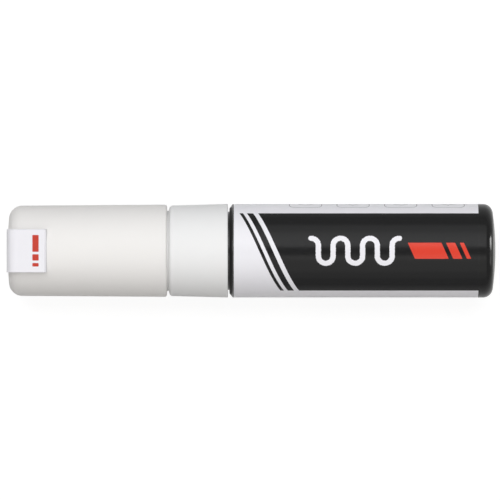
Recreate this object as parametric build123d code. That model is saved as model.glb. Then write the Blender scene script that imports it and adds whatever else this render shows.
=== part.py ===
from build123d import *
import os
from math import asin, cos, hypot, pi, radians, sin, sqrt

# Capped liquid chalk marker with a broad chisel nib.
# Pressing the nib pushes a sprung plunger off its seat and lets ink out of the barrel.
# The marker lies along X, cap at -X and tail at +X, on the strap's lower face and the barrel.
# All lengths are in millimetres. A station is a distance along the marker from its cap end.

# Lengths that show from outside, in order from the cap's end to the tail
strap_proud = 0.1
cap_length = 45.55
cap_slit = 0.6
collar_length = 16.83
shoulder_gap = 0.45
shoulder_length = 0.9
shoulder_land = 0.31
film_length = 69.9
tail_length = 4.96

# Outer radii: the barrel's, and how far the other shells stay inside it
barrel_radius = 13.4
cap_crown_step = 0.5
cap_mouth_step = 0.2
collar_front_step = 0.45
collar_rear_step = 0.02
seat_step = 2.2
shoulder_step = 1.2

# Rounded and domed ends
crown_dome = 120.0
tail_dome = 80.0
crown_rounding = 3.8
tail_rounding = 2.8
mouth_rounding = 0.7
collar_front_rounding = 1.15
collar_rear_rounding = 0.3
edge_rounding = 0.25

# Gaps: between pieces pressed or snapped together, and between pieces that slide
press_gap = 0.05
slide_gap = 0.1
cap_slip = 0.25
click_gap = 0.05

# Strap over the crown
strap_width = 12.3
strap_leg = 11.4
strap_bend = 3.0
strap_bevel = 0.55
strap_recess = 0.6

# Cap shell
cap_wall = 1.5
crown_thickness = 2.0
liner_ledge = 0.45
neck_bead_height = 0.1
bead_width = 1.2
bead_depth = 4.5

# Sealing liner inside the cap
liner_wall = 0.9
liner_room = 0.5
liner_flange_thickness = 1.2
liner_end_gap = 0.7
lip_gap = 2.8

# Collar between cap and barrel
cap_neck_length = 10.5
collar_neck_wall = 2.05
collar_wall = 2.5
cone_length = 3.0
nose_wall = 1.3

# Nib and its holder
nib_width = 8.0
nib_thickness = 5.6
nib_reach = 9.5
nib_clear = 6.5
nib_slant = 35.0
nib_rounding = 0.5
nozzle_wall = 1.2
nozzle_draft = 0.5
nozzle_rounding = 0.8
holder_flange_thickness = 1.6
skirt_wall = 1.0
wick_length = 7.0
wick_wall = 1.6

# Barrel, film and tail plug
barrel_wall = 1.6
film_thickness = 0.12
film_gap = 0.03
film_sink = 0.03
neck_length = 11.4
neck_wall = 1.4
neck_ridge_height = 0.3
neck_ridge_width = 1.4
neck_ridge_depth = 4.0
spigot_length = 5.94
spigot_wall = 1.3
gate_radius = 1.3
gate_depth = 0.3

# Valve
gasket_thickness = 0.8
gasket_overhang = 0.3
valve_flange_thickness = 1.2
valve_cup_radius = 6.0
valve_cup_wall = 0.9
valve_cup_length = 14.0
seat_thickness = 1.5
seat_gap = 0.7
rod_radius = 1.3
rod_reach = 4.0
stem_head_radius = 3.4
stem_head_thickness = 1.2
seal_thickness = 1.0
stem_tail = 1.0
retainer_thickness = 1.6
retainer_setback = 0.6
ink_hole_count = 6
ink_hole_radius = 0.8

# Valve spring
spring_wire = 0.5
spring_radius = 2.4
spring_turns = 6

# Loose mixing balls, and how far from the film's front edge they lie
ball_radius = 3.2
ball_gap = 0.1
left_ball_place = 24.0
right_ball_place = 40.0

# Stations along the marker
s_crown = strap_proud
s_mouth = s_crown + cap_length
s_collar = s_mouth + cap_slit
s_shoulder = s_collar + collar_length
s_slope = s_shoulder + shoulder_gap
s_film = s_slope + shoulder_length + shoulder_land
s_tail = s_film + film_length
s_end = s_tail + tail_length
s_neck = s_shoulder - neck_length
s_flange = s_neck - gasket_thickness - valve_flange_thickness
s_holder = s_collar - cap_neck_length
s_nose = s_holder - cone_length
s_liner_mouth = s_nose - lip_gap
s_ledge = s_liner_mouth - liner_flange_thickness
s_liner_end = s_crown + crown_thickness + liner_end_gap
s_nib_tip = s_liner_end + liner_wall + nib_clear
s_nozzle = s_nib_tip + nib_reach
s_nib_rear = s_flange - rod_reach
s_cup_end = s_flange + valve_cup_length
s_seat = s_flange + seat_thickness
s_head = s_seat + seal_thickness
s_spring = s_head + stem_head_thickness
s_retainer = s_cup_end - retainer_setback - retainer_thickness

# Radii worked inwards from the outside
cap_crown_radius = barrel_radius - cap_crown_step
cap_mouth_radius = barrel_radius - cap_mouth_step
cap_bore = cap_mouth_radius - cap_wall
crown_bore = cap_bore - liner_ledge
cap_neck_radius = cap_bore - cap_slip
cap_bead_height = cap_slip - neck_bead_height - click_gap
holder_bore = cap_neck_radius - collar_neck_wall
collar_front_radius = barrel_radius - collar_front_step
collar_rear_radius = barrel_radius - collar_rear_step
socket_bore = collar_front_radius - collar_wall
neck_radius = socket_bore - press_gap
neck_bore = neck_radius - neck_wall
film_radius = barrel_radius - film_sink
film_seat = film_radius - film_thickness - film_gap
barrel_bore = film_seat - barrel_wall

# Radii worked outwards from the nib and the valve
slot_width = nib_width + 2 * slide_gap
slot_thickness = nib_thickness + 2 * slide_gap
slot_radius = hypot(slot_width, slot_thickness) / 2
nozzle_tip_radius = slot_radius + nozzle_wall
nozzle_root_radius = nozzle_tip_radius + nozzle_draft
nose_radius = nozzle_root_radius + nose_wall
wick_radius = slot_radius + wick_wall
liner_bore = nozzle_root_radius + liner_room
liner_radius = liner_bore + liner_wall
valve_bore = valve_cup_radius - valve_cup_wall
seat_hole = rod_radius + seat_gap

# The marker's axis lies one barrel radius above the table, halfway along X
axis_place = Pos(-s_end / 2, 0, barrel_radius)


def turned(*corners):
    """Solid turned about the axis from corners (station, radius) or (station, radius, rounding)."""
    face = make_face(Polyline(*[corner[:2] for corner in corners], close=True))
    for station, radius, *rounding in corners:
        if rounding:
            vertex = face.vertices().sort_by_distance((station, radius, 0))[0]
            face = fillet(vertex, rounding[0])
    return revolve(face, Axis.X)


def domed(apex, rim, apex_radius, rim_radius, dome_radius, rounding):
    """Solid with a domed end at the apex station and a flat end at the rim station."""

    def dome_at(radius):
        sag = dome_radius - sqrt(dome_radius**2 - radius**2)
        return (apex + sag if rim > apex else apex - sag, radius)

    edge = dome_at(apex_radius)
    dome = ThreePointArc((apex, 0), dome_at(apex_radius / 2), edge)
    sides = Polyline(edge, (rim, rim_radius), (rim, 0), (apex, 0))
    face = make_face([dome, *sides.edges()])
    corner = face.vertices().sort_by_distance((*edge, 0))[0]
    return revolve(fillet(corner, rounding), Axis.X)


def cap_form(inset):
    """Outer shape of the cap, drawn in by the inset."""
    return domed(
        s_crown + inset,
        s_mouth,
        cap_crown_radius - inset,
        cap_mouth_radius - inset,
        crown_dome - inset,
        crown_rounding - inset,
    )


def strap_block(gap):
    """Block that the strap is cut from: as wide as its band, bent over at the cap's end."""
    height = 2 * barrel_radius
    block = Pos(strap_leg / 2, 0, 0) * Box(strap_leg + 2 * gap, strap_width + 2 * gap, height)
    bends = block.edges().filter_by(Axis.Y).group_by(Axis.X)[0]
    return fillet(bends, strap_bend)


def nozzle_radius(station):
    """Radius of the drafted nozzle at a station between its tip and the collar's nose."""
    share = (station - s_nozzle) / (s_nose - s_nozzle)
    return nozzle_tip_radius + share * nozzle_draft


def slot_block(front, rear):
    """Bar that clears the nib all along, from the front station to the rear one."""
    bar = Pos((front + rear) / 2, 0, 0) * Box(rear - front, slot_width, slot_thickness)
    return fillet(bar.edges().filter_by(Axis.X), nib_rounding)


def cap_shell():
    shell = cap_form(0)
    rim = shell.edges().filter_by(GeomType.CIRCLE).sort_by(Axis.X)[-1]
    shell = fillet(rim, mouth_rounding)
    inner_crown = s_crown + crown_thickness
    shell -= turned(
        (inner_crown, 0),
        (inner_crown, crown_bore, crown_rounding / 2),
        (s_ledge, crown_bore),
        (s_ledge, cap_bore),
        (s_mouth, cap_bore),
        (s_mouth, 0),
    )
    bead = s_mouth - bead_depth
    shell += turned(
        (bead, cap_bore + cap_wall / 2),
        (bead, cap_bore),
        (bead + bead_width / 2, cap_bore - cap_bead_height),
        (bead + bead_width, cap_bore),
        (bead + bead_width, cap_bore + cap_wall / 2),
    )
    return shell - (strap_block(press_gap) - cap_form(strap_recess + press_gap))


def cap_strap():
    strap = strap_block(0) - cap_form(strap_recess)
    ends = strap.edges().filter_by(Axis.Y).group_by(Axis.X)[-1].sort_by(Axis.Z)
    return chamfer([ends[0], ends[-1]], strap_bevel)


def inner_cap():
    lip = nozzle_radius(s_liner_mouth) + slide_gap
    return turned(
        (s_liner_end, 0),
        (s_liner_end, liner_radius, liner_wall),
        (s_ledge, liner_radius),
        (s_ledge, cap_bore - press_gap),
        (s_liner_mouth, cap_bore - press_gap),
        (s_liner_mouth, lip),
        (s_ledge, lip),
        (s_ledge - liner_room, liner_bore),
        (s_liner_end + liner_wall, liner_bore),
        (s_liner_end + liner_wall, 0),
    )


def front_collar():
    bead = s_mouth - bead_depth - bead_width
    ridge = s_neck + neck_ridge_depth
    groove = socket_bore + neck_ridge_height
    nozzle_hole = nozzle_root_radius + press_gap
    return turned(
        (s_nose, nozzle_hole),
        (s_nose, nose_radius, edge_rounding),
        (s_holder, cap_neck_radius),
        (bead, cap_neck_radius),
        (bead + bead_width / 2, cap_neck_radius + neck_bead_height),
        (bead + bead_width, cap_neck_radius),
        (s_collar, cap_neck_radius),
        (s_collar, collar_front_radius, collar_front_rounding),
        (s_shoulder, collar_rear_radius, collar_rear_rounding),
        (s_shoulder, socket_bore),
        (ridge + neck_ridge_width, socket_bore),
        (ridge + neck_ridge_width, groove),
        (ridge, groove),
        (ridge, socket_bore),
        (s_flange, socket_bore),
        (s_flange, holder_bore),
        (s_holder, holder_bore),
        (s_holder, nozzle_hole),
    )


def nib_holder():
    skirt_radius = holder_bore - press_gap
    flange_rear = s_holder + holder_flange_thickness
    wick_socket = wick_radius + press_gap
    socket_end = flange_rear + wick_length
    holder = turned(
        (s_nozzle, 0),
        (s_nozzle, nozzle_tip_radius, nozzle_rounding),
        (s_nose, nozzle_root_radius),
        (s_holder, nozzle_root_radius),
        (s_holder, skirt_radius),
        (s_flange, skirt_radius),
        (s_flange, skirt_radius - skirt_wall),
        (socket_end, skirt_radius - skirt_wall),
        (socket_end, wick_socket),
        (flange_rear, wick_socket),
        (flange_rear, 0),
    )
    return holder - slot_block(s_nozzle, flange_rear)


def chisel_nib():
    slant_length = nib_width * sin(radians(nib_slant)) / cos(radians(nib_slant))
    half = nib_width / 2
    outline = Polyline(
        (s_nib_tip, half),
        (s_nib_rear, half),
        (s_nib_rear, -half),
        (s_nib_tip + slant_length, -half),
        close=True,
    )
    nib = extrude(make_face(outline), nib_thickness / 2, both=True)
    nib = fillet(nib.edges().filter_by(Axis.X), nib_rounding)
    tip_face = nib.faces().sort_by(Axis.X)[0]
    return fillet(tip_face.edges(), nib_rounding / 2)


def overflow_wick():
    front = s_holder + holder_flange_thickness
    rear = front + wick_length
    sleeve = turned((front, 0), (front, wick_radius), (rear, wick_radius), (rear, 0))
    return sleeve - slot_block(front, rear)


def valve_housing():
    return turned(
        (s_flange, seat_hole),
        (s_flange, socket_bore - press_gap),
        (s_flange + valve_flange_thickness, socket_bore - press_gap),
        (s_flange + valve_flange_thickness, valve_cup_radius),
        (s_cup_end, valve_cup_radius, edge_rounding),
        (s_cup_end, valve_bore),
        (s_seat, valve_bore),
        (s_seat, seat_hole),
    )


def valve_gasket():
    front = s_flange + valve_flange_thickness
    inside = neck_bore - gasket_overhang
    outside = socket_bore - press_gap
    return turned((front, inside), (front, outside), (s_neck, outside), (s_neck, inside))


def valve_stem():
    front = s_nib_rear + slide_gap
    rear = s_cup_end + stem_tail
    return turned(
        (front, 0),
        (front, rod_radius, edge_rounding),
        (s_head, rod_radius),
        (s_head, stem_head_radius),
        (s_spring, stem_head_radius),
        (s_spring, rod_radius),
        (rear, rod_radius, edge_rounding),
        (rear, 0),
    )


def stem_seal():
    inside = rod_radius + press_gap
    return turned(
        (s_seat, inside),
        (s_seat, stem_head_radius),
        (s_head, stem_head_radius),
        (s_head, inside),
    )


def valve_spring():
    """Open coil spring, with each quarter turn of its line as two arcs that meet tangentially."""
    first = s_spring + spring_wire / 2 + press_gap
    last = s_retainer - spring_wire / 2 - press_gap
    rise = (last - first) / (2 * pi * spring_turns)

    def point(angle):
        return Vector(first + rise * angle, spring_radius * cos(angle), spring_radius * sin(angle))

    def heading(angle):
        return Vector(rise, -spring_radius * sin(angle), spring_radius * cos(angle)).normalized()

    arcs = []
    quarter = pi / 2
    for k in range(4 * spring_turns):
        start, end = point(k * quarter), point((k + 1) * quarter)
        leaving, arriving = heading(k * quarter), heading((k + 1) * quarter)
        chord = end - start
        along = chord.dot(leaving + arriving)
        turn = 2 * (1 - leaving.dot(arriving))
        reach = (sqrt(along**2 + turn * chord.dot(chord)) - along) / turn
        middle = (start + leaving * reach + end - arriving * reach) * 0.5
        bend = end - arriving * reach - start - leaving * reach
        arcs.append(TangentArc(start, middle, tangent=leaving))
        arcs.append(TangentArc(middle, end, tangent=bend))
    angles = [2 * pi * k / 48 for k in range(48 * spring_turns + 1)]
    samples = [point(angle) for angle in angles]
    gaps = [(a - b).length for i, a in enumerate(samples) for b in samples[i + 24 :]]
    print("valve spring: least gap to itself", round(min(gaps) - spring_wire, 2), "mm")
    section = Plane(point(0), z_dir=heading(0)) * Circle(spring_wire / 2)
    return sweep(section, path=Wire(arcs))


def spring_retainer():
    rear = s_retainer + retainer_thickness
    radius = valve_bore - press_gap
    hole = rod_radius + slide_gap
    disc = turned((s_retainer, hole), (s_retainer, radius), (rear, radius), (rear, hole))
    hole_circle = (radius + spring_radius + spring_wire) / 2
    for k in range(ink_hole_count):
        drill = Pos(s_retainer + retainer_thickness / 2, 0, hole_circle) * Rot(0, 90, 0)
        drill *= Cylinder(ink_hole_radius, 2 * retainer_thickness)
        disc -= Rot(360 * k / ink_hole_count, 0, 0) * drill
    return disc


def barrel():
    seat_radius = barrel_radius - seat_step
    shoulder_radius = barrel_radius - shoulder_step
    ridge = s_neck + neck_ridge_depth
    crest = neck_radius + neck_ridge_height - press_gap
    bore_step = barrel_bore - neck_bore
    return turned(
        (s_neck, neck_bore),
        (s_neck, neck_radius, edge_rounding),
        (ridge + press_gap, neck_radius),
        (ridge + neck_ridge_width / 2, crest),
        (ridge + neck_ridge_width - press_gap, crest),
        (ridge + neck_ridge_width - press_gap, neck_radius),
        (s_shoulder, neck_radius),
        (s_shoulder, seat_radius),
        (s_slope, seat_radius),
        (s_slope, shoulder_radius),
        (s_slope + shoulder_length, barrel_radius, shoulder_length / 2),
        (s_film, barrel_radius),
        (s_film, film_seat),
        (s_tail, film_seat),
        (s_tail, barrel_bore),
        (s_film + bore_step, barrel_bore),
        (s_film, neck_bore),
    )


def barrel_film():
    inside = film_seat + film_gap
    front, rear = s_film + film_gap, s_tail - film_gap
    return turned((front, inside), (front, film_radius), (rear, film_radius), (rear, inside))


def tail_plug():
    plug = domed(s_end, s_tail, barrel_radius, barrel_radius, tail_dome, tail_rounding)
    spigot = barrel_bore - press_gap
    front = s_tail - spigot_length
    plug += turned((front, 0), (front, spigot, edge_rounding), (s_tail, spigot), (s_tail, 0))
    hollow = spigot - spigot_wall
    floor = s_tail + spigot_wall
    plug -= turned((front, 0), (front, hollow), (floor, hollow, spigot_wall), (floor, 0))
    gate = s_end - gate_depth
    return plug - turned((gate, 0), (gate, gate_radius), (s_end, gate_radius), (s_end, 0))


def mixing_ball(place, side):
    """Steel ball lying on the tank's floor, beside the marker's lowest line."""
    swing = barrel_bore - ball_radius - ball_gap
    lean = asin((ball_radius + ball_gap) / swing)
    return Pos(s_film + place, side * swing * sin(lean), -swing * cos(lean)) * Sphere(ball_radius)


pieces = {
    "cap_shell": cap_shell(),
    "cap_strap": cap_strap(),
    "inner_cap": inner_cap(),
    "front_collar": front_collar(),
    "nib_holder": nib_holder(),
    "chisel_nib": chisel_nib(),
    "overflow_wick": overflow_wick(),
    "valve_housing": valve_housing(),
    "valve_gasket": valve_gasket(),
    "valve_stem": valve_stem(),
    "stem_seal": stem_seal(),
    "valve_spring": valve_spring(),
    "spring_retainer": spring_retainer(),
    "barrel": barrel(),
    "barrel_film": barrel_film(),
    "tail_plug": tail_plug(),
    "mixing_ball_left": mixing_ball(left_ball_place, 1),
    "mixing_ball_right": mixing_ball(right_ball_place, -1),
}

os.makedirs("parts", exist_ok=True)
for name, solid in pieces.items():
    export_step(axis_place * solid, f"parts/{name}.step")
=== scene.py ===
import functools
import math

import bmesh
import bpy
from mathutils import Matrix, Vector


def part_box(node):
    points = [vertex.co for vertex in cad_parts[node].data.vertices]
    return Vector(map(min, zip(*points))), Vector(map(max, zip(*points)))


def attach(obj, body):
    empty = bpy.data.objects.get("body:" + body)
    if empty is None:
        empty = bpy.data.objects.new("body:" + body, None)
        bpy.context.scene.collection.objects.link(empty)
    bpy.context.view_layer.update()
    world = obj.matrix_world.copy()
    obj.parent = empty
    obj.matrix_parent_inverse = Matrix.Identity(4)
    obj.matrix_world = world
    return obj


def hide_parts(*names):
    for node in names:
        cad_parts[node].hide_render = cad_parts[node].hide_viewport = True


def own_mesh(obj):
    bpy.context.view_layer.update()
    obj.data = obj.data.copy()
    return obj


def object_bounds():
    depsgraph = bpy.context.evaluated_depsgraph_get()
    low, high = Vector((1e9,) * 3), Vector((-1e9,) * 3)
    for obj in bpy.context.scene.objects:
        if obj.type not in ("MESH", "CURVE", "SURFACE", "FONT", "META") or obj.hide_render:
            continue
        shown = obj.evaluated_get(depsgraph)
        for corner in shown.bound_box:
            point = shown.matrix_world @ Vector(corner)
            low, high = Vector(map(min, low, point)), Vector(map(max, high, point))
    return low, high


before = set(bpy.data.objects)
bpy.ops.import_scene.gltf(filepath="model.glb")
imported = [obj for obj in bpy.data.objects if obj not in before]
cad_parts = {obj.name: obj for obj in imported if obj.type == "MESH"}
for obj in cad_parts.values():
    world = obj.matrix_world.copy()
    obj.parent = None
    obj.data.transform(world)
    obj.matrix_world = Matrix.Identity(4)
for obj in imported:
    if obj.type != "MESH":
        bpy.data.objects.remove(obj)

# Looks of a capped liquid chalk marker, seen from straight above.
# Lengths are in metres unless a name ends in _mm. X runs from cap to tail and Z is up.

cad_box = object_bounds()

# Places taken from the frame
axis_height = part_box("barrel")[1].z / 2
film_low, film_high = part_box("barrel_film")
film_radius_mm = (film_high.z - axis_height) * 1000
strap_low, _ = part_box("cap_strap")
middle = (cad_box[0] + cad_box[1]) / 2

# The photograph: a square frame, with the marker's length and middle in its pixels
photo_size_px = 500
marker_length_px = 487.65
marker_middle_px = (251.38, 250.75)
camera_distance = 2.7
sensor_width_mm = 36.0

# Colours, as sRGB values of 0 to 255
warm_white = (241, 239, 237)
neutral_white = (240, 240, 240)
cool_white = (239, 238, 243)
natural_white = (228, 230, 228)
fibre_white = (238, 236, 229)
print_black = (12, 12, 13)
plastic_black = (11, 11, 11)
print_red = (222, 66, 48)
strap_red = (196, 56, 38)
print_grey = (150, 150, 154)
rubber_black = (34, 34, 35)
steel_grey = (196, 197, 200)

# Range that holds most values of a noise
noise_spread = (0.3, 0.7)


def linear(colour):
    """Linear RGBA of an sRGB colour."""

    def channel(value):
        share = value / 255
        return share / 12.92 if share <= 0.04045 else ((share + 0.055) / 1.055) ** 2.4

    return (*[channel(value) for value in colour], 1.0)


def shaded(colour, share):
    """Linear RGBA colour made darker or lighter by a share."""
    return (*[channel * share for channel in colour[:3]], 1.0)


class Graph:
    """The nodes of one material. Its methods add a node and give back the socket that holds the result."""

    def __init__(self, name):
        self.material = bpy.data.materials.new(name)
        self.material.use_nodes = True
        self.tree = self.material.node_tree
        self.shader = self.tree.nodes["Principled BSDF"]

    def feed(self, socket, value):
        if isinstance(value, bpy.types.NodeSocket):
            self.tree.links.new(value, socket)
        else:
            socket.default_value = value

    def add(self, kind, inputs=(), **settings):
        node = self.tree.nodes.new(kind)
        for name, value in settings.items():
            setattr(node, name, value)
        for name, value in dict(inputs).items():
            self.feed(node.inputs[name], value)
        return node

    def calc(self, operation, *values):
        return self.add("ShaderNodeMath", enumerate(values), operation=operation).outputs[0]

    def place(self):
        """Object coordinates, in metres, split into X, Y and Z."""
        where = self.add("ShaderNodeTexCoord").outputs["Object"]
        split = self.add("ShaderNodeSeparateXYZ", {"Vector": where})
        return where, [split.outputs[axis] for axis in "XYZ"]

    def vector(self, x=0.0, y=0.0, z=0.0):
        return self.add("ShaderNodeCombineXYZ", {"X": x, "Y": y, "Z": z}).outputs[0]

    def noise(self, where, scale, detail=2.0):
        inputs = {"Vector": where, "Scale": scale, "Detail": detail}
        return self.add("ShaderNodeTexNoise", inputs).outputs["Fac"]

    def stretch(self, where, scale):
        """Coordinates scaled axis by axis."""
        inputs = {0: where, 1: scale}
        return self.add("ShaderNodeVectorMath", inputs, operation="MULTIPLY").outputs[0]

    def ramp(self, value, low, high, start=0.0, end=1.0):
        """Value carried from the range low to high over to the range start to end, smoothly and clamped."""
        inputs = {"Value": value, "From Min": low, "From Max": high, "To Min": start, "To Max": end}
        return self.add("ShaderNodeMapRange", inputs, interpolation_type="SMOOTHSTEP").outputs[0]

    def mix(self, share, first, second):
        """Colour between the first, at a share of 0, and the second, at 1."""
        inputs = {0: share, 6: first, 7: second}
        return self.add("ShaderNodeMix", inputs, data_type="RGBA").outputs[2]

    def bump(self, height, distance, strength=1.0):
        inputs = {"Height": height, "Distance": distance, "Strength": strength}
        self.feed(self.shader.inputs["Normal"], self.add("ShaderNodeBump", inputs).outputs[0])

    def set(self, **values):
        for name, value in values.items():
            self.feed(self.shader.inputs[name.replace("_", " ")], value)


def moulded_plastic(name, colour, roughness, gloss=0.25, grain_mm=0.25, grain_height_mm=0.004, mottle=0.03):
    """Injection-moulded plastic: faint clouding, a fine eroded grain and an uneven sheen."""
    cloud_scale, sheen_scale, uneven = 90.0, 700.0, 0.04
    graph = Graph(name)
    where, _ = graph.place()
    base = linear(colour)
    cloud = graph.noise(where, cloud_scale, 3.0)
    grain = graph.noise(where, 1000 / grain_mm)
    sheen = graph.noise(where, sheen_scale, 3.0)
    graph.set(
        Base_Color=graph.mix(cloud, base, shaded(base, 1 - mottle)),
        Roughness=graph.ramp(sheen, *noise_spread, roughness - uneven, roughness + uneven),
        Specular_IOR_Level=gloss,
    )
    graph.bump(grain, grain_height_mm / 1000)
    return graph


def black_plastic(name, gloss):
    """Moulded plastic of the barrel and the tail."""
    return moulded_plastic(
        name, plastic_black, roughness=0.2, gloss=gloss, grain_mm=0.4, grain_height_mm=0.003, mottle=0.12
    )


def rubber():
    """Black rubber with a dusty bloom in patches."""
    bloom_scale, bloom_edge, dustiness = 900.0, (0.45, 0.75), 1.6
    grain_scale, grain_height = 6000.0, 0.00001
    graph = Graph("seal_rubber")
    where, _ = graph.place()
    bloom = graph.ramp(graph.noise(where, bloom_scale, 4.0), *bloom_edge)
    base = linear(rubber_black)
    graph.set(Base_Color=graph.mix(bloom, base, shaded(base, dustiness)), Roughness=0.72)
    graph.bump(graph.noise(where, grain_scale), grain_height)
    return graph


def steel(name, roughness):
    """Bare steel, duller and rougher where it is stained."""
    stain_scale, dullness, smoother, rougher = 800.0, 0.82, 0.05, 0.08
    graph = Graph(name)
    where, _ = graph.place()
    stain = graph.noise(where, stain_scale, 4.0)
    base = linear(steel_grey)
    graph.set(
        Base_Color=graph.mix(stain, base, shaded(base, dullness)),
        Metallic=1.0,
        Roughness=graph.ramp(stain, *noise_spread, roughness - smoother, roughness + rougher),
    )
    return graph


def fibre(name, strand_mm):
    """Pressed polyester fibre, with strands that run along the marker and painted shade in the hollows
    between them.
    """
    strand_stretch, strand_edge, painted_hollow_shade = 12, (0.35, 0.6), 0.72
    graph = Graph(name)
    where, _ = graph.place()
    across = 1000 / strand_mm
    strands = graph.noise(graph.stretch(where, (across / strand_stretch, across, across)), 1.0, 3.0)
    base = linear(fibre_white)
    # Painted shade: the hollows between the strands are coloured darker than the strands themselves
    graph.set(
        Base_Color=graph.mix(graph.ramp(strands, *strand_edge), shaded(base, painted_hollow_shade), base),
        Roughness=0.92,
        Sheen_Weight=0.25,
    )
    graph.bump(strands, strand_mm / 4000)
    return graph


def length_of(graph, *sides):
    """Length of the diagonal over sides at right angles."""
    squares = [graph.calc("MULTIPLY", side, side) for side in sides]
    return graph.calc("SQRT", graph.calc("ADD", *squares))


def from_point(graph, u, v, point):
    """Distance in mm from a point on a printed sheet."""
    return length_of(graph, graph.calc("SUBTRACT", u, point[0]), graph.calc("SUBTRACT", v, point[1]))


def from_line(graph, value, line):
    """Distance in mm from a line along or across a printed sheet."""
    return graph.calc("ABSOLUTE", graph.calc("SUBTRACT", value, line))


def bar_shape(graph, u, v, centre, half, rounding):
    """Signed distance in mm from a rounded rectangle on a printed sheet, below zero inside it."""
    reach = [
        graph.calc("SUBTRACT", from_line(graph, value, place), size - rounding)
        for value, place, size in zip((u, v), centre, half)
    ]
    outside = length_of(graph, *[graph.calc("MAXIMUM", value, 0.0) for value in reach])
    inside = graph.calc("MINIMUM", graph.calc("MAXIMUM", *reach), 0.0)
    return graph.calc("SUBTRACT", graph.calc("ADD", outside, inside), rounding)


def outline_of(graph, shape, line_mm):
    """Signed distance from the drawn outline of a shape."""
    return graph.calc("SUBTRACT", graph.calc("ABSOLUTE", shape), line_mm / 2)


def joined(graph, shapes):
    """Signed distance from the nearest of several shapes."""
    return functools.reduce(lambda first, second: graph.calc("MINIMUM", first, second), shapes)


def wave_shape(graph, u, v, start, turns, radius, rise, line_mm):
    """Signed distance from a round-turned wave that starts and ends on a crest, with round ends."""
    place = graph.calc("ADD", graph.calc("DIVIDE", graph.calc("SUBTRACT", u, start), 2 * radius), 0.5)
    count = graph.calc("FLOOR", place)
    aside = graph.calc("ABSOLUTE", graph.calc("SUBTRACT", graph.calc("SUBTRACT", place, count), 0.5))
    aside = graph.calc("MULTIPLY", aside, 2 * radius)
    upright = graph.calc("SUBTRACT", 1.0, graph.calc("MULTIPLY", graph.calc("MODULO", count, 2.0), 2.0))
    height = graph.calc("MULTIPLY", v, upright)
    # Above the middle a point is nearest to the turn of its own column, below it to the next one's
    own = graph.calc("GREATER_THAN", height, 0.0)
    swap = graph.calc("MULTIPLY", own, graph.calc("MULTIPLY", graph.calc("SUBTRACT", aside, radius), 2.0))
    aside = graph.calc("ADD", graph.calc("SUBTRACT", 2 * radius, aside), swap)
    above = graph.calc("MAXIMUM", graph.calc("SUBTRACT", graph.calc("ABSOLUTE", height), rise), 0.0)
    line = from_line(graph, length_of(graph, aside, above), radius)
    half = radius * turns
    past_ends = graph.calc("SUBTRACT", from_line(graph, u, start + half), half - line_mm / 2)
    line = graph.calc("MAXIMUM", line, past_ends)
    crest = radius + rise
    ends = ((start, crest), (start + 2 * half, crest if turns % 2 == 0 else -crest))
    line = joined(graph, [line] + [from_point(graph, u, v, end) for end in ends])
    return graph.calc("SUBTRACT", line, line_mm / 2)


def inked(graph, distance, edge_mm=0.04):
    """Share of ink: 1 where the signed distance is below zero, with a crisp printed edge."""
    return graph.ramp(distance, edge_mm, -edge_mm)


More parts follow.
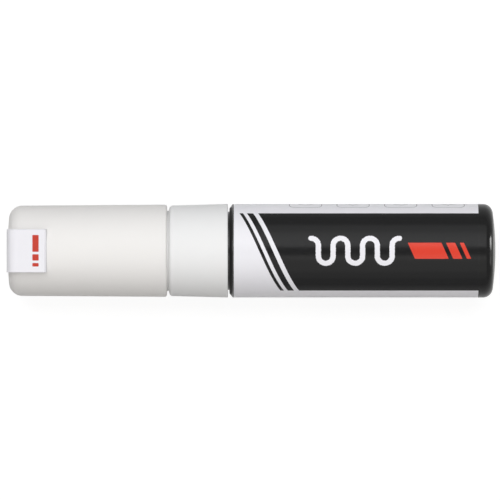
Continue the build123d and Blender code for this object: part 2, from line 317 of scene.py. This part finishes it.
def printed_film():
    """White film with a black panel, a chalked wave, a red bar, grey tiles, strokes and a ruled panel."""
    graph = Graph("printed_film")
    _, (x, y, z) = graph.place()
    # u runs along the film from its front edge, v round it from the top line, both in mm
    u = graph.calc("MULTIPLY", graph.calc("SUBTRACT", x, film_low.x), 1000.0)
    angle = graph.calc("ARCTAN2", y, graph.calc("SUBTRACT", z, axis_height))
    v = graph.calc("MULTIPLY", angle, film_radius_mm)
    colour = linear(cool_white)

    # Black panel that runs off the rear edge, with a slanted front and two slashes before it
    panel_low, panel_high, panel_front, panel_lean = -13.6, 12.4, 12.5, 0.45
    slashes = ((10.2, 0.9), (7.7, 0.5))
    squeeze = 1 / math.hypot(1.0, panel_lean)
    slant = graph.calc("ADD", u, graph.calc("MULTIPLY", v, panel_lean))
    black = [graph.calc("SUBTRACT", panel_front, slant)]
    black += [graph.calc("SUBTRACT", from_line(graph, slant, place), half) for place, half in slashes]
    black = graph.calc("MULTIPLY", joined(graph, black), squeeze)
    sides = from_line(graph, v, (panel_low + panel_high) / 2)
    sides = graph.calc("SUBTRACT", sides, (panel_high - panel_low) / 2)
    black = graph.calc("MAXIMUM", black, sides)
    colour = graph.mix(inked(graph, black), colour, linear(print_black))

    # Chalked wave with a slightly crumbled edge
    crumble_scale, crumble_mm = 4.0, 0.09
    wave = wave_shape(graph, u, v, start=22.0, turns=6, radius=2.1, rise=1.5, line_mm=1.5)
    crumble = graph.noise(graph.vector(u, v), crumble_scale, 4.0)
    crumble = graph.ramp(crumble, *noise_spread, -crumble_mm, crumble_mm)
    colour = graph.mix(inked(graph, graph.calc("ADD", wave, crumble)), colour, linear(cool_white))

    # Red bar, cut into shorter and shorter lengths at the panel's slant
    bar_cuts, bar_half, bar_rounding = ((50.6, 60.2), (61.5, 64.1), (65.4, 66.6)), 2.3, 0.2
    blocks = [
        bar_shape(graph, slant, v, ((low + high) / 2, 0.0), ((high - low) / 2, bar_half), bar_rounding)
        for low, high in bar_cuts
    ]
    colour = graph.mix(inked(graph, joined(graph, blocks)), colour, linear(print_red))

    # Row of tiles in grey line, round the film from the panel, with a ring or a diamond in each by turns
    tile_count, tile_pitch, tile_first, tile_row = 4, 13.6, 20.5, 20.4
    tile_half, tile_rounding, tile_line = 4.6, 1.6, 0.22
    motif_half, motif_line, diamond_reach = 2.0, 0.45, 2.4
    number = graph.calc("ROUND", graph.calc("DIVIDE", graph.calc("SUBTRACT", u, tile_first), tile_pitch))
    number = graph.calc("MINIMUM", graph.calc("MAXIMUM", number, 0.0), tile_count - 1.0)
    tile_middle = graph.calc("ADD", graph.calc("MULTIPLY", number, tile_pitch), tile_first)
    along = graph.calc("SUBTRACT", u, tile_middle)
    around = graph.calc("SUBTRACT", v, tile_row)
    tile = bar_shape(graph, along, around, (0.0, 0.0), (tile_half, tile_half), tile_rounding)
    ring = graph.calc("SUBTRACT", length_of(graph, along, around), motif_half)
    corner = graph.calc("ADD", graph.calc("ABSOLUTE", along), graph.calc("ABSOLUTE", around))
    diamond = graph.calc("MULTIPLY", graph.calc("SUBTRACT", corner, diamond_reach), math.sqrt(0.5))
    odd = graph.calc("MODULO", number, 2.0)
    turned = graph.calc("MULTIPLY", odd, graph.calc("SUBTRACT", diamond, ring))
    motif = graph.calc("ADD", ring, turned)
    lines = [outline_of(graph, tile, tile_line), outline_of(graph, motif, motif_line)]
    colour = graph.mix(inked(graph, joined(graph, lines)), colour, linear(print_grey))

    # Strokes of three widths on the near side, as crumbled as the wave
    stroke_middle, stroke_half = 35.0, 14.0
    strokes = ((-22.9, 0.35), (-25.0, 0.65), (-28.0, 1.15))
    bars = [
        bar_shape(graph, u, v, (stroke_middle, place), (stroke_half, half), half)
        for place, half in strokes
    ]
    chalked = graph.calc("ADD", joined(graph, bars), crumble)
    colour = graph.mix(inked(graph, chalked), colour, linear(print_black))

    # Blank panel on the far side, with grey rules on both sides of the marker's lowest line
    blank_middle, blank_half, blank_rounding, blank_line = 35.0, (29.0, 10.5), 2.0, 0.4
    rule_half, rule_places = (25.5, 0.1), (2.2, 6.6)
    far_side = graph.calc("SUBTRACT", math.pi * film_radius_mm, graph.calc("ABSOLUTE", v))
    blank = bar_shape(graph, u, far_side, (blank_middle, 0.0), blank_half, blank_rounding)
    colour = graph.mix(inked(graph, outline_of(graph, blank, blank_line)), colour, linear(print_black))
    rules = [bar_shape(graph, u, far_side, (blank_middle, place), rule_half, 0.0) for place in rule_places]
    colour = graph.mix(inked(graph, joined(graph, rules)), colour, linear(print_grey))

    # Uneven sheen, and faint ripples drawn out along the film
    sheen_scale, sheen_range = 0.6, (0.19, 0.24)
    ripple_draw, ripple_scale, ripple_height = 0.3, 0.9, 0.00001
    sheen = graph.noise(graph.vector(u, v), sheen_scale, 3.0)
    ripple = graph.noise(graph.vector(graph.calc("MULTIPLY", u, ripple_draw), v), ripple_scale)
    graph.set(
        Base_Color=colour,
        Roughness=graph.ramp(sheen, *noise_spread, *sheen_range),
        Specular_IOR_Level=0.16,
    )
    graph.bump(ripple, ripple_height)
    return graph


def strap_plastic():
    """Glossy white strap with three red dashes printed on its upper leg."""
    name = "strap_plastic"
    graph = moulded_plastic(
        name, cool_white, roughness=0.22, gloss=0.4, grain_mm=0.6, grain_height_mm=0.002, mottle=0.01
    )
    _, (x, y, z) = graph.place()
    u = graph.calc("MULTIPLY", graph.calc("SUBTRACT", x, strap_low.x), 1000.0)
    v = graph.calc("MULTIPLY", y, 1000.0)
    dash_place, dash_half, dash_rounding = 8.3, 0.9, 0.2
    dashes = [
        bar_shape(graph, u, v, (dash_place, across), (dash_half, half), dash_rounding)
        for across, half in ((2.1, 2.4), (-1.9, 0.9), (-4.0, 0.5))
    ]
    on_top = graph.calc("GREATER_THAN", z, axis_height)
    red = graph.calc("MULTIPLY", inked(graph, joined(graph, dashes)), on_top)
    plain = graph.shader.inputs["Base Color"].links[0].from_socket
    graph.set(Base_Color=graph.mix(red, plain, linear(strap_red)))
    return graph


def dress(graph, *nodes):
    """Gives the frame's nodes a material."""
    for node in nodes:
        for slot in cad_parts[node].material_slots:
            slot.material = graph.material


dress(moulded_plastic("cap_plastic", warm_white, roughness=0.56, gloss=0.16), "cap_shell")
dress(moulded_plastic("collar_plastic", neutral_white, roughness=0.56, gloss=0.16), "front_collar")
dress(moulded_plastic("holder_plastic", natural_white, roughness=0.42), "nib_holder")
valve_nodes = ("valve_housing", "valve_stem", "spring_retainer")
dress(moulded_plastic("valve_plastic", natural_white, roughness=0.38), *valve_nodes)
dress(moulded_plastic("liner_plastic", natural_white, roughness=0.34, gloss=0.4, grain_mm=0.5), "inner_cap")
dress(black_plastic("barrel_plastic", gloss=0.5), "barrel")
dress(black_plastic("tail_plastic", gloss=0.16), "tail_plug")
dress(strap_plastic(), "cap_strap")
dress(printed_film(), "barrel_film")
dress(fibre("nib_fibre", strand_mm=0.12), "chisel_nib")
dress(fibre("wick_fibre", strand_mm=0.3), "overflow_wick")
dress(rubber(), "valve_gasket", "stem_seal")
dress(steel("ball_steel", roughness=0.14), "mixing_ball_left", "mixing_ball_right")


def valve_coil():
    """Coil spring with closed ends in place of the valve's plain coil. The real coil shortens as the
    plunger lifts; this one is built at the plain coil's length.
    """
    wire, closed_pitch = 0.0005, 0.00051
    turns, closed_turns, opening_turns = 6, 0.8, 0.4
    steps_per_turn, sides = 36, 12
    low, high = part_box("valve_spring")
    coil_radius = (high.y - low.y - wire) / 2

    # Rise along the coil: turns that touch at both ends, and an even open pitch between them
    steps = turns * steps_per_turn
    openings = []
    for step in range(steps):
        turn = (step + 0.5) / steps_per_turn
        share = (min(turn, turns - turn) - closed_turns) / opening_turns
        share = min(max(share, 0.0), 1.0)
        openings.append(share * share * (3 - 2 * share))
    spare = high.x - low.x - wire - closed_pitch * turns
    rises = [0.0]
    for opening in openings:
        rises.append(rises[-1] + closed_pitch / steps_per_turn + spare * opening / sum(openings))

    # Rings of points round the wire, square to it
    mesh = bmesh.new()
    rings = []
    for step, rise in enumerate(rises):
        angle = 2 * math.pi * step / steps_per_turn
        outward = Vector((0.0, math.cos(angle), math.sin(angle)))
        before, after = max(step - 1, 0), min(step + 1, steps)
        climb = (rises[after] - rises[before]) / (after - before)
        stride = 2 * math.pi * coil_radius / steps_per_turn
        heading = Vector((climb, -stride * math.sin(angle), stride * math.cos(angle)))
        across = heading.normalized().cross(outward)
        centre = Vector((low.x + wire / 2 + rise, 0.0, axis_height)) + coil_radius * outward
        ring = []
        for side in range(sides):
            round_wire = 2 * math.pi * side / sides
            out = math.cos(round_wire) * outward + math.sin(round_wire) * across
            ring.append(mesh.verts.new(centre + wire / 2 * out))
        rings.append(ring)
    for first, second in zip(rings, rings[1:]):
        for side in range(sides):
            other = (side + 1) % sides
            mesh.faces.new((first[side], first[other], second[other], second[side])).smooth = True
    mesh.faces.new(rings[0])
    mesh.faces.new(rings[-1])
    bmesh.ops.recalc_face_normals(mesh, faces=mesh.faces)
    data = bpy.data.meshes.new("valve_coil")
    mesh.to_mesh(data)
    mesh.free()
    data.materials.append(steel("spring_steel", roughness=0.28).material)
    coil = bpy.data.objects.new("valve_coil", data)
    bpy.context.scene.collection.objects.link(coil)

    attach(coil, "marker_body")
    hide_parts("valve_spring")
    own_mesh(coil)


valve_coil()


def white_floor():
    """Pale floor that keeps the marker's shadow, made up to white where it is looked at."""
    size, shade, white, glow = 8.0, 0.25, 0.95, 0.84
    mesh = bpy.data.meshes.new("floor")
    corners = [(-size, -size, 0), (size, -size, 0), (size, size, 0), (-size, size, 0)]
    mesh.from_pydata(corners, [], [(0, 1, 2, 3)])
    floor = bpy.data.objects.new("floor", mesh)
    bpy.context.scene.collection.objects.link(floor)
    graph = Graph("floor_white")
    rays = graph.add("ShaderNodeLightPath").outputs
    mirrored = graph.calc("MAXIMUM", rays["Is Glossy Ray"], rays["Is Transmission Ray"])
    tone = graph.ramp(mirrored, 0.0, 1.0, shade, white)
    graph.set(
        Base_Color=graph.vector(tone, tone, tone),
        Roughness=1.0,
        Specular_IOR_Level=0.0,
        Emission_Color=(1.0, 1.0, 1.0, 1.0),
        Emission_Strength=graph.calc("MULTIPLY", rays["Is Camera Ray"], glow),
    )
    mesh.materials.append(graph.material)


def softbox(name, aim, tilt_deg, side_deg, distance, width, length, radiance):
    """Area lamp aimed at a point, tilted from straight above it towards +Y and then round towards +X."""
    lamp = bpy.data.lights.new(name, "AREA")
    lamp.shape = "RECTANGLE"
    lamp.size, lamp.size_y = length, width
    lamp.energy = radiance * math.pi * width * length
    lamp_object = bpy.data.objects.new(name, lamp)
    tilt, side = math.radians(tilt_deg), math.radians(side_deg)
    towards = Vector((math.sin(side), math.cos(side) * math.sin(tilt), math.cos(side) * math.cos(tilt)))
    lamp_object.location = aim + distance * towards
    lamp_object.rotation_euler = towards.to_track_quat("Z", "Y").to_euler()
    lamp_object.visible_camera = False
    bpy.context.scene.collection.objects.link(lamp_object)
    return lamp


def studio_light():
    """Two graded banks of softboxes, a card past the cap, two small ones behind the tail, and the world."""
    marker_axis = Vector((middle.x, middle.y, axis_height))
    studio_distance, bank_length = 0.9, 1.2

    # Each panel of a bank: its tilt in degrees, width and radiance
    cool, warm = (0.985, 0.992, 1.0), (1.0, 0.983, 0.955)
    upper = ((14.5, 0.17, 2.57), (26.5, 0.205, 2.36), (39.5, 0.205, 1.97), (56.0, 0.32, 1.13))
    lower = ((-16.5, 0.17, 1.79), (-28.0, 0.19, 1.05), (-43.5, 0.3, 1.03), (-62.0, 0.3, 0.52))
    for bank, colour, panels in (("upper", cool, upper), ("lower", warm, lower)):
        for number, (tilt_deg, width, radiance) in enumerate(panels, 1):
            name = f"{bank}_softbox_{number}"
            lamp = softbox(name, marker_axis, tilt_deg, 0.0, studio_distance, width, bank_length, radiance)
            lamp.color = colour

    cap_tilt_deg, cap_side_deg, cap_card_size, cap_radiance = 40.0, -72.0, 0.3, 2.4
    place = (marker_axis, cap_tilt_deg, cap_side_deg, studio_distance)
    softbox("cap_card", *place, cap_card_size, cap_card_size, cap_radiance)

    # Narrow beams that pass over the floor and show in the tail's rounded corner
    tail_side_deg, tail_spread_deg = 74.0, 40.0
    tail_rise, tail_distance, tail_card_size = 0.012, 0.022, 0.010
    tail_corner = Vector((cad_box[1].x, middle.y, axis_height + tail_rise))
    for name, tilt_deg, radiance in (("tail_card_upper", 90.0, 1.5), ("tail_card_lower", -90.0, 0.2)):
        place = (tail_corner, tilt_deg, tail_side_deg, tail_distance)
        lamp = softbox(name, *place, tail_card_size, tail_card_size, radiance)
        lamp.spread = math.radians(tail_spread_deg)

    # White where it is looked at, plainly or in a mirror, and dim as a light
    world_light = 0.2
    world = bpy.data.worlds.new("studio")
    world.use_nodes = True
    tree = world.node_tree
    rays = tree.nodes.new("ShaderNodeLightPath").outputs
    seen = rays["Is Camera Ray"]
    for kind in ("Is Glossy Ray", "Is Transmission Ray"):
        larger = tree.nodes.new("ShaderNodeMath")
        larger.operation = "MAXIMUM"
        tree.links.new(seen, larger.inputs[0])
        tree.links.new(rays[kind], larger.inputs[1])
        seen = larger.outputs[0]
    strength = tree.nodes.new("ShaderNodeMapRange")
    tree.links.new(seen, strength.inputs["Value"])
    strength.inputs["To Min"].default_value = world_light
    background = tree.nodes["Background"]
    background.inputs["Color"].default_value = (1.0, 1.0, 1.0, 1.0)
    tree.links.new(strength.outputs[0], background.inputs["Strength"])
    bpy.context.scene.world = world


def photo_camera():
    """Camera straight above the marker, with the photograph's scale and framing."""
    metres_per_px = (cad_box[1].x - cad_box[0].x) / marker_length_px
    field = photo_size_px * metres_per_px
    camera = bpy.data.cameras.new("photo_camera")
    camera.sensor_width = sensor_width_mm
    camera.lens = sensor_width_mm * camera_distance / field
    camera.clip_start, camera.clip_end = 0.1, 50.0
    camera_object = bpy.data.objects.new("photo_camera", camera)
    right_px = photo_size_px / 2 - marker_middle_px[0]
    down_px = photo_size_px / 2 - marker_middle_px[1]
    camera_object.location = (
        middle.x + right_px * metres_per_px,
        middle.y - down_px * metres_per_px,
        axis_height + camera_distance,
    )
    bpy.context.scene.collection.objects.link(camera_object)
    bpy.context.scene.camera = camera_object


white_floor()
studio_light()
photo_camera()
bpy.context.scene.view_settings.view_transform = "Standard"
